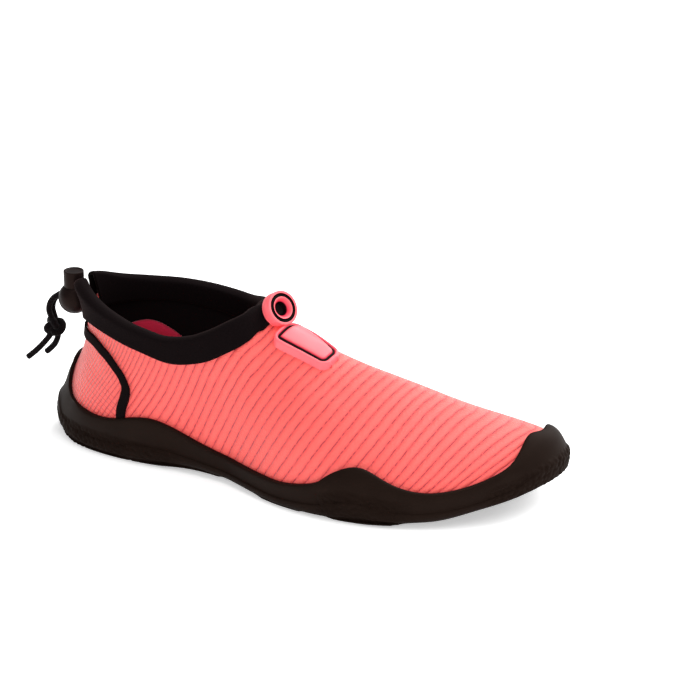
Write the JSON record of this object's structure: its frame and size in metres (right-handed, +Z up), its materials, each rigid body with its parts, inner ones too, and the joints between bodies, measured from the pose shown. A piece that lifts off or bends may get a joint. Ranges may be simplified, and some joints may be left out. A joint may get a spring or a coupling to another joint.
{
  "type": "water shoe",
  "caption": "Low slip-on water shoe with a ribbed stretch upper, rubber cup sole, bound collar, throat pull and a cord lock at the heel.",
  "frame": {"origin": "middle of the shoe's length and width on the floor, without the lock and its cord", "axes": "+X to the toe, +Y to the inner side of the foot, +Z up from the floor"},
  "size_m": [0.2641, 0.0917, 0.083],
  "materials": {
    "black_rubber": "moulded, satin band above a matt textured lower zone",
    "crimson_foam": "cloth-faced foam",
    "coral_stretch_cloth": "ribbed knit, soft sheen",
    "black_binding": "soft folded stretch tape",
    "coral_soft_rubber": "moulded, satin",
    "black_plastic": "moulded, satin",
    "black_cord": "round elastic cord"
  },
  "bodies": {
    "shoe": {"outsole": "black_rubber", "insole": "crimson_foam", "upper": "coral_stretch_cloth", "collar_binding": "black_binding", "heel_tape_lateral": "black_binding", "heel_tape_medial": "black_binding", "throat_pull": "coral_soft_rubber", "throat_panel": "coral_soft_rubber", "lock_body": "black_plastic", "cord_strand_lateral": "black_cord", "cord_strand_medial": "black_cord", "cord_knot": "black_cord", "cord_tail_lateral": "black_cord", "cord_tail_medial": "black_cord"},
    "button": {"lock_button": "black_plastic"}
  },
  "joints": [
    {"name": "lock_button", "type": "slide", "parent": "shoe", "child": "button", "axis": [0, 0, -1], "range_m": [0, 0.003], "stiffness_N_per_m": 800, "springref_m": -0.003}
  ]
}
